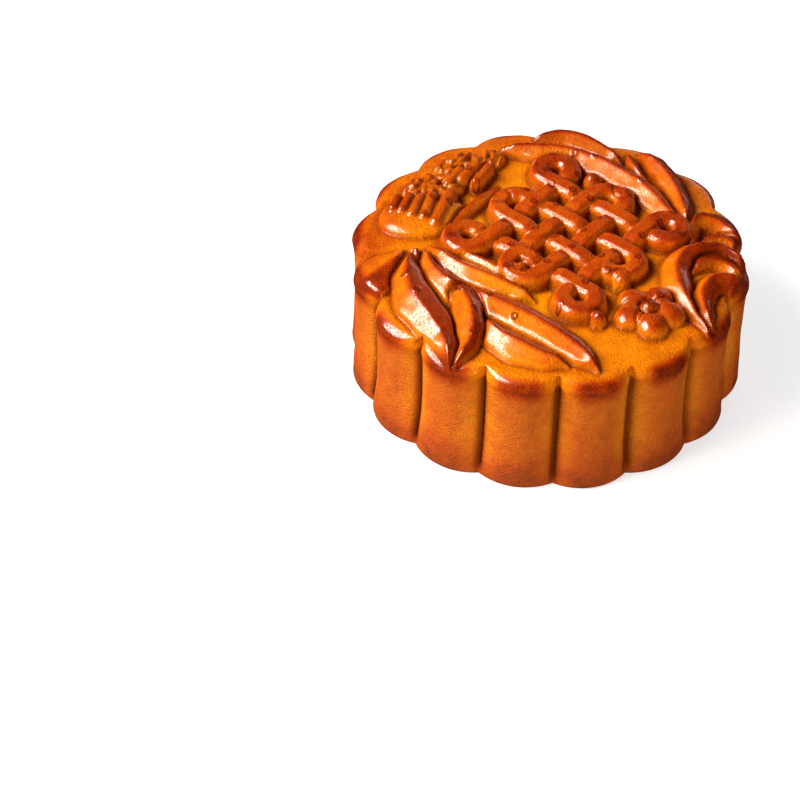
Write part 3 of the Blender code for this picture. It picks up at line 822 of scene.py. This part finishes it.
# %% Move the mesh's points
skin_mesh.vertices.foreach_set("co", (final * MM).astype(np.float32).ravel())
skin_mesh.update()
skin_mesh.shade_smooth()
cake = add_object("mooncake_crust", skin_mesh)
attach(cake, "root")
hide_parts("mooncake")
skin_mesh.calc_loop_triangles()
print("crust:", len(skin_mesh.loop_triangles), "triangles")

# %% [markdown]
# Where the crust browns, and where shade is painted
#
# Heat reaches the high places first, so browning follows the toast of each form and its crest.
# The rounded shoulder of each lobe browns too, and the plate a little towards the rim. Painted
# shade goes in with it: hollows are browned darker and redder, the wall darkens towards its foot,
# and the leaves' toast darkens the flank that faces away from the light. All this could be painted
# by hand. It is worked out here instead, once for each point, and stored for the material to read.

# %% Tools for the browning


def blurred(values, rounds):
    """Average each grid value with its neighbours a number of times."""
    values = values.copy()
    for count in range(rounds):
        padded = np.pad(values, 1, mode="edge")
        values = 0.2 * (values + padded[:-2, 1:-1] + padded[2:, 1:-1]
                        + padded[1:-1, :-2] + padded[1:-1, 2:])
    return values


def store(name, on_the_top, on_the_wall):
    """Keep one number for each point of the crust."""
    values = np.empty(point_count)
    values[top_rows] = on_the_top
    values[~on_top] = on_the_wall
    layer = skin_mesh.attributes.new(name, "FLOAT", "POINT")
    layer.data.foreach_set("value", values.astype(np.float32))
    print(name, "up to", round(float(values.max()), 2))


crease_rounds, crest_rounds = ((6, 36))
CREST_HEIGHT = 0.8
CREASE_DEPTH = 0.24
form = raised - sunk
# The crease mask says where painted shade goes: the crust is darkened in its creases.
crest_here = np.clip((form - blurred(form, crest_rounds)) / CREST_HEIGHT, -1.0, 1.0)
crease_shade_mask = np.clip((blurred(form, crease_rounds) - form) / CREASE_DEPTH, 0.0, 1.0)
crease_shade_mask = blurred(crease_shade_mask, 2)
print("share of the top in creases:", round(float(crease_shade_mask.mean()), 3))

# %% Browning and painted shade of the top and the wall
PLATE_BROWN = 0.09
OUTER_PLATE_BROWN, OUTER_PLATE = 0.15, (16.0, 24.0)
RIM_BROWN, BACK_RIM_BROWN, RIM = 0.06, 0.16, (27.0, 37.0)
TOAST_AND_SHADE_BROWN, RAISED = 0.54, (0.2, 1.0)
CREST_BROWN = 0.12
HOLLOW_PAINTED_SHADE = 0.18
SHOULDER_BROWN, SHOULDER, LOBE_MIDDLE = 0.60, (0.890, 0.955), (1.2, 5.2)
DARKEST = 0.90
HOT_SPOTS = [((-37.0, 3.0), 7.0, 0.18), ((-20.0, 18.0), 9.0, -0.10), ((-33.5, -8.0), 5.5, -0.10),
             ((35.0, -17.0), 9.0, 0.04), ((34.0, -2.0), 8.0, -0.08)]
WALL_BROWN = 0.35
WALL_LOBE_BROWN, WALL_LOBE_MIDDLE = 0.22, (0.8, 5.5)
# Painted shade: the wall is darker towards its foot, near the floor.
FOOT_PAINTED_SHADE, FOOT = 0.32, (11.0, 0.0)
LIP_BROWN, LIP = 0.28, (21.5, 25.4)

plan_radius = np.hypot(plan_x, plan_y)
plan_angle = np.arctan2(plan_y, plan_x)
flat_reach = np.hypot(flat_x, flat_y)
lobe_middle = ramp(*LOBE_MIDDLE, groove_distance(plan_angle, plan_radius))
towards_back = 0.5 + 0.5 * np.sin(plan_angle)
# Hollows get more browning as painted shade, and the toast carries the leaves' painted shade.
top_browning_and_shade = (PLATE_BROWN + OUTER_PLATE_BROWN * ramp(*OUTER_PLATE, plan_radius)
                + (RIM_BROWN + BACK_RIM_BROWN * towards_back) * ramp(*RIM, plan_radius)
                + TOAST_AND_SHADE_BROWN * toast_and_shade * ramp(*RAISED, raised)
                + CREST_BROWN * np.maximum(crest_here, 0.0)
                + HOLLOW_PAINTED_SHADE * np.maximum(-crest_here, 0.0)
                + SHOULDER_BROWN * ramp(*SHOULDER, flat_reach) * lobe_middle)
for (spot_x, spot_y), size, amount in HOT_SPOTS:
    top_browning_and_shade += amount * soft_line(np.hypot(plan_x - spot_x, plan_y - spot_y), size)

wall_middle = ramp(*WALL_LOBE_MIDDLE, wall_groove)
# The foot of the wall is darkened as painted shade; the rest is browning.
wall_browning_and_shade = (WALL_BROWN + WALL_LOBE_BROWN * wall_middle
                 + FOOT_PAINTED_SHADE * ramp(*FOOT, wall_z)
                 + LIP_BROWN * ramp(*LIP, wall_z) * wall_middle)
store("browning_and_shade", np.minimum(top_browning_and_shade, DARKEST), wall_browning_and_shade)

# %% [markdown]
# Where the egg wash lies
#
# The wash is brushed over the top alone. It is thick on the ornament and the rim, and thinner on
# the plate and on the strands. Its edge winds along the shoulder, and a little of it runs onto
# the wall. Creases and grooves get a thin dark line of painted shade, and the wash is kept
# thinner there. It shines on every blister.

# %% Painted shade in creases, glaze and blisters
WALL_GROOVE_SHADE, WALL_GROOVE_SHADE_WIDTH, GROOVE_SHADE_FADE = 0.9, 1.1, (-1.0, 3.0)
PLATE_GLAZE, WASHED_GLAZE = 0.30, 0.70
WASHED_RELIEF, WASHED_RIM = (0.5, 1.6), (0.80, 0.90)
STRAND_GLAZE_LOSS, STRAND_TOAST, STRAND_FIELD = 0.55, (0.6, 0.9), (15.0, 22.0)
WASH_EDGE, WASH_EDGE_WINDS, WASH_EDGE_WIDTH = 0.958, 0.008, 0.012
PAST_EDGE_GLAZE, LIP_GLAZE = 0.25, (21.0, 25.4)
BLISTER_GLAZE_WIDTH, BLISTER_REACH = 0.8, 1.5

# Painted shade: a dark line down each groove of the wall.
wall_groove_shade = WALL_GROOVE_SHADE * soft_line(wall_groove, WALL_GROOVE_SHADE_WIDTH) * ramp(*GROOVE_SHADE_FADE, wall_z)
store("crease_shade", crease_shade_mask, wall_groove_shade)

on_strand = ramp(*STRAND_TOAST, toast_and_shade) * (1 - ramp(*STRAND_FIELD, from_knot))
washed = np.maximum(ramp(*WASHED_RELIEF, raised), ramp(*WASHED_RIM, flat_reach))
wash_edge = WASH_EDGE + WASH_EDGE_WINDS * np.sin(5 * plan_angle) * np.cos(11 * plan_angle + 1.3)
inside_edge = ramp(WASH_EDGE_WIDTH, -WASH_EDGE_WIDTH, flat_reach - wash_edge)
top_glaze = ((PLATE_GLAZE + WASHED_GLAZE * washed) * (1 - STRAND_GLAZE_LOSS * on_strand)
             * (PAST_EDGE_GLAZE + (1 - PAST_EDGE_GLAZE) * inside_edge))
top_glaze = np.maximum(top_glaze, soft_line(to_blister, BLISTER_GLAZE_WIDTH))
store("glaze", top_glaze, PAST_EDGE_GLAZE * ramp(*LIP_GLAZE, wall_z))
store("blister", np.clip(1 - to_blister / BLISTER_REACH, 0.0, 1.0), 0.0)

# %% [markdown]
# The egg-washed crust
#
# One material covers the cake, because it is one dough. Its colour runs from gold to dark
# red-brown along the browning. Noise of three sizes breaks it up: broad patches from uneven
# heat, a mottling of a few millimetres, and a fine grain. A few helpers keep the graph short.

# %% Node helpers
NOISE_ROUGHNESS = 0.55
crust = bpy.data.materials.new("egg_washed_crust")
crust.use_nodes = True
nodes = crust.node_tree.nodes
links = crust.node_tree.links
shader = nodes["Principled BSDF"]
coordinates = nodes.new("ShaderNodeTexCoord").outputs["Object"]
skin_mesh.materials.append(crust)


def feed(socket, value):
    """Link a socket to a value, or set it if the value is a number."""
    if isinstance(value, bpy.types.NodeSocket):
        links.new(value, socket)
    else:
        socket.default_value = value


def calculate(operation, first, second=0.0, third=0.0, clamp=False):
    """One Math node."""
    node = nodes.new("ShaderNodeMath")
    node.operation = operation
    node.use_clamp = clamp
    for socket, value in zip(node.inputs, (first, second, third)):
        feed(socket, value)
    return node.outputs[0]


def add_scaled(value, weight, total, clamp=False):
    """A value times a weight, added to a total."""
    return calculate("MULTIPLY_ADD", value, weight, total, clamp)


def stored(name):
    """A value that is stored at the points."""
    node = nodes.new("ShaderNodeAttribute")
    node.attribute_name = name
    return node.outputs["Fac"]


def dough_noise(size_mm, detail):
    """Noise of a given size in millimetres, centred on 0."""
    node = nodes.new("ShaderNodeTexNoise")
    links.new(coordinates, node.inputs["Vector"])
    node.inputs["Scale"].default_value = 1.0 / (size_mm * MM)
    node.inputs["Detail"].default_value = detail
    node.inputs["Roughness"].default_value = NOISE_ROUGHNESS
    return calculate("SUBTRACT", node.outputs["Fac"], 0.5)


def blend_colours(low, high, share):
    """Between two colours, by a share."""
    node = nodes.new("ShaderNodeMix")
    node.data_type = "RGBA"
    feed(node.inputs[0], share)
    feed(node.inputs[6], low)
    feed(node.inputs[7], high)
    return node.outputs[2]


def colour_ramp(value, stops):
    """A Color Ramp with stops of a place and a colour."""
    node = nodes.new("ShaderNodeValToRGB")
    links.new(value, node.inputs["Fac"])
    while len(node.color_ramp.elements) < len(stops):
        node.color_ramp.elements.new(0.5)
    for element, (place, colour) in zip(node.color_ramp.elements, stops):
        element.position = place
        element.color = (*colour, 1)
    return node.outputs["Color"]


print("the material starts with", len(nodes), "nodes")

# %% [markdown]
# The colour is laid in this order: browned dough; a paler, greyer tone where no wash lies, partly
# the dull bare dough and partly a painted sheen; a dark painted shade in creases and grooves; and
# last the red-brown ring of each blister.

# %% Colour of the crust
PATCH_HEAT, MOTTLING_HEAT, GRAIN_HEAT = 0.34, 0.34, 0.24
CREASE_SHADE_SHARE = 0.85
DRY_AND_SHEEN_AMOUNT, DRY_AND_SHEEN_LOSS_BY_GLAZE = 0.16, -0.5
CRUST_COLOURS = [
    (0.04, (0.88, 0.335, 0.004)),
    (0.26, (0.76, 0.225, 0.002)),
    (0.48, (0.58, 0.125, 0.002)),
    (0.72, (0.42, 0.053, 0.001)),
    (0.98, (0.17, 0.014, 0.001)),
]
# The dry colour is partly the dull bare dough and partly a painted sheen; the crease colour is painted
# shade.
DRY_AND_SHEEN_COLOUR = (0.60, 0.27, 0.10, 1)
CREASE_SHADE_COLOUR = (0.13, 0.018, 0.001, 1)
BLISTER_COLOUR = (0.15, 0.010, 0.001, 1)
BLISTER_STOPS = [(0.40, 0.0), (0.56, 0.9), (0.72, 0.30), (0.90, 0.6)]

patches = dough_noise(11.0, 2.0)
mottling = dough_noise(2.2, 3.0)
grain = dough_noise(0.42, 2.0)
heat = add_scaled(patches, PATCH_HEAT, stored("browning_and_shade"))
heat = add_scaled(mottling, MOTTLING_HEAT, heat)
heat = add_scaled(grain, GRAIN_HEAT, heat)
crust_colour = colour_ramp(heat, CRUST_COLOURS)
# Where the wash is thin the colour turns paler and greyer: bare dough, and a painted sheen.
dry_and_sheen = add_scaled(stored("glaze"), DRY_AND_SHEEN_LOSS_BY_GLAZE, DRY_AND_SHEEN_AMOUNT, clamp=True)
crust_colour = blend_colours(crust_colour, DRY_AND_SHEEN_COLOUR, dry_and_sheen)
# Painted shade: creases and grooves are darkened towards a dark red-brown.
crease_shade_share = calculate("MULTIPLY", stored("crease_shade"), CREASE_SHADE_SHARE)
crust_colour = blend_colours(crust_colour, CREASE_SHADE_COLOUR, crease_shade_share)
blister_ring = colour_ramp(stored("blister"), [(place, (shade,) * 3) for place, shade in BLISTER_STOPS])
crust_colour = blend_colours(crust_colour, BLISTER_COLOUR, blister_ring)
links.new(crust_colour, shader.inputs["Base Color"])
print("colour of the crust:", len(nodes), "nodes")

# %% [markdown]
# Baked egg wash is a thin hard varnish over a dull dough. So the dough itself keeps almost no
# shine, and a clear coat with its own roughness lies over it, as strong as the glaze stored at
# each point. The grain breaks the coat into the fine speckle that real highlights show.

# %% Gloss
GLAZED_ROUGHNESS = 0.34
BARE_ROUGHNESS = 0.62
MOTTLING_GLAZE, MOTTLING_ROUGHNESS = 0.5, 0.20
SPECKLE, SPECKLE_BASE = 3.2, 0.68

glazed = add_scaled(mottling, MOTTLING_GLAZE, stored("glaze"), clamp=True)
glazed = calculate("MULTIPLY", glazed, calculate("SUBTRACT", 1.0, stored("crease_shade"), clamp=True))
roughness = add_scaled(glazed, GLAZED_ROUGHNESS - BARE_ROUGHNESS, BARE_ROUGHNESS)
roughness = add_scaled(mottling, MOTTLING_ROUGHNESS, roughness)
links.new(roughness, shader.inputs["Roughness"])
speckle = add_scaled(grain, SPECKLE, SPECKLE_BASE, clamp=True)
links.new(calculate("MULTIPLY", glazed, speckle), shader.inputs["Coat Weight"])
shader.inputs["Coat Roughness"].default_value = 0.20
shader.inputs["Coat IOR"].default_value = 1.95
shader.inputs["Specular IOR Level"].default_value = 0.06
print("with gloss:", len(nodes), "nodes")

# %% [markdown]
# The relief is real geometry. Only what is too fine for the mesh is bump: the grain of the
# dough, its mottling, the small pores, and the crinkled rim of the blisters.

# %% Fine bumps
PORE_SPACING = 0.9
PORE_EDGE = (0.12, 0.36)
GRAIN_BUMP, MOTTLING_BUMP, PORE_BUMP, BLISTER_BUMP = 2.0, 1.3, 0.35, 0.5

cells = nodes.new("ShaderNodeTexVoronoi")
links.new(coordinates, cells.inputs["Vector"])
cells.inputs["Scale"].default_value = 1.0 / (PORE_SPACING * MM)
pore = nodes.new("ShaderNodeMapRange")
pore.interpolation_type = "SMOOTHSTEP"
links.new(cells.outputs["Distance"], pore.inputs["Value"])
pore.inputs["From Min"].default_value = PORE_EDGE[0]
pore.inputs["From Max"].default_value = PORE_EDGE[1]
bump_height = add_scaled(grain, GRAIN_BUMP, calculate("MULTIPLY", mottling, MOTTLING_BUMP))
bump_height = add_scaled(pore.outputs["Result"], PORE_BUMP, bump_height)
bump_height = add_scaled(blister_ring, BLISTER_BUMP, bump_height)
bump = nodes.new("ShaderNodeBump")
bump.inputs["Strength"].default_value = 0.7
bump.inputs["Distance"].default_value = 0.25 * MM
links.new(bump_height, bump.inputs["Height"])
links.new(bump.outputs["Normal"], shader.inputs["Normal"])
print("crust material:", len(nodes), "nodes")

# %% [markdown]
# The camera
#
# A product photo of food is taken from above at about 45 degrees, with a fairly long lens, from
# half a metre or so. The angle and the roll could be set by eye, but here they were fitted to the
# grooves of the wall. The cake sits at the upper right of the picture, so the aim is beside it.

# %% Camera
AIM_POINT = (-29.5, -14.5, 0.0)
CAMERA_DISTANCE = 560.0
CAMERA_ELEVATION = math.radians(43.3)
CAMERA_ROLL = math.radians(0.9)
LENS = 124.2
SENSOR = 36.0

camera_data = bpy.data.cameras.new("camera")
camera_data.lens = LENS
camera_data.sensor_width = SENSOR
camera = add_object("camera", camera_data)
back = Vector((0.0, -math.cos(CAMERA_ELEVATION), math.sin(CAMERA_ELEVATION)))
camera.matrix_world = (Matrix.Translation((Vector(AIM_POINT) + back * CAMERA_DISTANCE) * MM)
                       @ Matrix.Rotation(math.pi / 2 - CAMERA_ELEVATION, 4, "X")
                       @ Matrix.Rotation(CAMERA_ROLL, 4, "Z"))
bpy.context.scene.camera = camera
print("camera", CAMERA_DISTANCE, "mm away with a lens of", LENS, "mm")

# %% [markdown]
# The table and the room
#
# The cake lies on white paper in a white room. To the camera both are plain white. The light
# that they throw on the cake is much weaker, or it would wash out the shadows, and in the glaze
# they are nearly dark. A photographer gets this with black cards round glossy food. In nodes,
# the Light Path tells which kind of ray asks, so one helper gives each kind its own level.

# %% White paper and white room
FLOOR_SIZE = 6.0
WHITE = (1, 1, 1, 1)


def by_ray(tree, for_light, for_camera, added_in_gloss=0.0):
    """One level for the light and one for the camera, with more or less in reflections."""
    ray = tree.nodes.new("ShaderNodeLightPath")
    level = tree.nodes.new("ShaderNodeMapRange")
    tree.links.new(ray.outputs["Is Camera Ray"], level.inputs["Value"])
    level.inputs["To Min"].default_value = for_light
    level.inputs["To Max"].default_value = for_camera
    flagged = tree.nodes.new("ShaderNodeMath")
    flagged.operation = "MULTIPLY_ADD"
    tree.links.new(ray.outputs["Is Glossy Ray"], flagged.inputs[0])
    flagged.inputs[1].default_value = added_in_gloss
    tree.links.new(level.outputs["Result"], flagged.inputs[2])
    return flagged.outputs[0]


floor_pattern = bmesh.new()
bmesh.ops.create_grid(floor_pattern, x_segments=1, y_segments=1, size=FLOOR_SIZE)
floor_mesh = bpy.data.meshes.new("floor")
floor_pattern.to_mesh(floor_mesh)
floor_pattern.free()
floor = add_object("floor", floor_mesh)

paper = bpy.data.materials.new("white_paper")
paper.use_nodes = True
paper_tree = paper.node_tree
paper_shader = paper_tree.nodes["Principled BSDF"]
paper_tree.links.new(by_ray(paper_tree, 0.28, 0.53, -0.24), paper_shader.inputs["Base Color"])
paper_tree.links.new(by_ray(paper_tree, 0.0, 0.54), paper_shader.inputs["Emission Strength"])
paper_shader.inputs["Emission Color"].default_value = WHITE
paper_shader.inputs["Roughness"].default_value = 0.9
paper_shader.inputs["Specular IOR Level"].default_value = 0.0
floor_mesh.materials.append(paper)

room = bpy.data.worlds.new("studio")
bpy.context.scene.world = room
room.use_nodes = True
sky = room.node_tree.nodes["Background"]
room.node_tree.links.new(by_ray(room.node_tree, 0.07, 1.0, -0.06), sky.inputs["Strength"])
sky.inputs["Color"].default_value = WHITE
print("floor of", 2 * FLOOR_SIZE, "m and a white room")

# %% [markdown]
# The light
#
# One large warm softbox high on the left draws the long highlights and gives the soft shadow on
# the right. The others are cool and weak, and only lift the shaded sides. A fill that would add
# a second highlight is hidden from the gloss, as if a card stood before it. One thin strip at
# the back stays visible, for the sheen along the far rim. The picture keeps Blender's Standard
# view, because a filmic curve would turn the golds grey.

# %% Softboxes
WARM = (1.0, 0.955, 0.89)
COOL = (0.94, 0.975, 1.0)
# name, two angles, distance, width, height, power, tint and whether gloss shows it
SOFTBOXES = [
    ("key", 189, 40, 1300, 1100, 900, 31.5, WARM, True),
    ("back_low", 75, 19, 1400, 1200, 480, 7.5, COOL, False),
    ("back_strip", 60, 12, 1400, 1100, 260, 1.1, COOL, True),
    ("right", 5, 20, 1500, 900, 700, 2.0, COOL, False),
    ("front_fill", -76, 9, 1500, 900, 500, 13.5, COOL, False),
]
for name, azimuth, elevation, distance, width, height, power, tint, seen_in_gloss in SOFTBOXES:
    data = bpy.data.lights.new(name, "AREA")
    data.shape = "RECTANGLE"
    data.size = width * MM
    data.size_y = height * MM
    data.energy = power
    data.color = tint
    light = add_object(name, data)
    turn = math.radians(azimuth)
    lift = math.radians(elevation)
    outward = Vector((math.cos(turn) * math.cos(lift), math.sin(turn) * math.cos(lift), math.sin(lift)))
    light.location = outward * distance * MM
    light.rotation_mode = "QUATERNION"
    light.rotation_quaternion = outward.to_track_quat("Z", "Y")
    light.visible_glossy = seen_in_gloss
print(len(SOFTBOXES), "softboxes, all aimed at the cake")
bpy.context.scene.view_settings.view_transform = "Standard"
bpy.context.scene.view_settings.look = "Medium High Contrast"
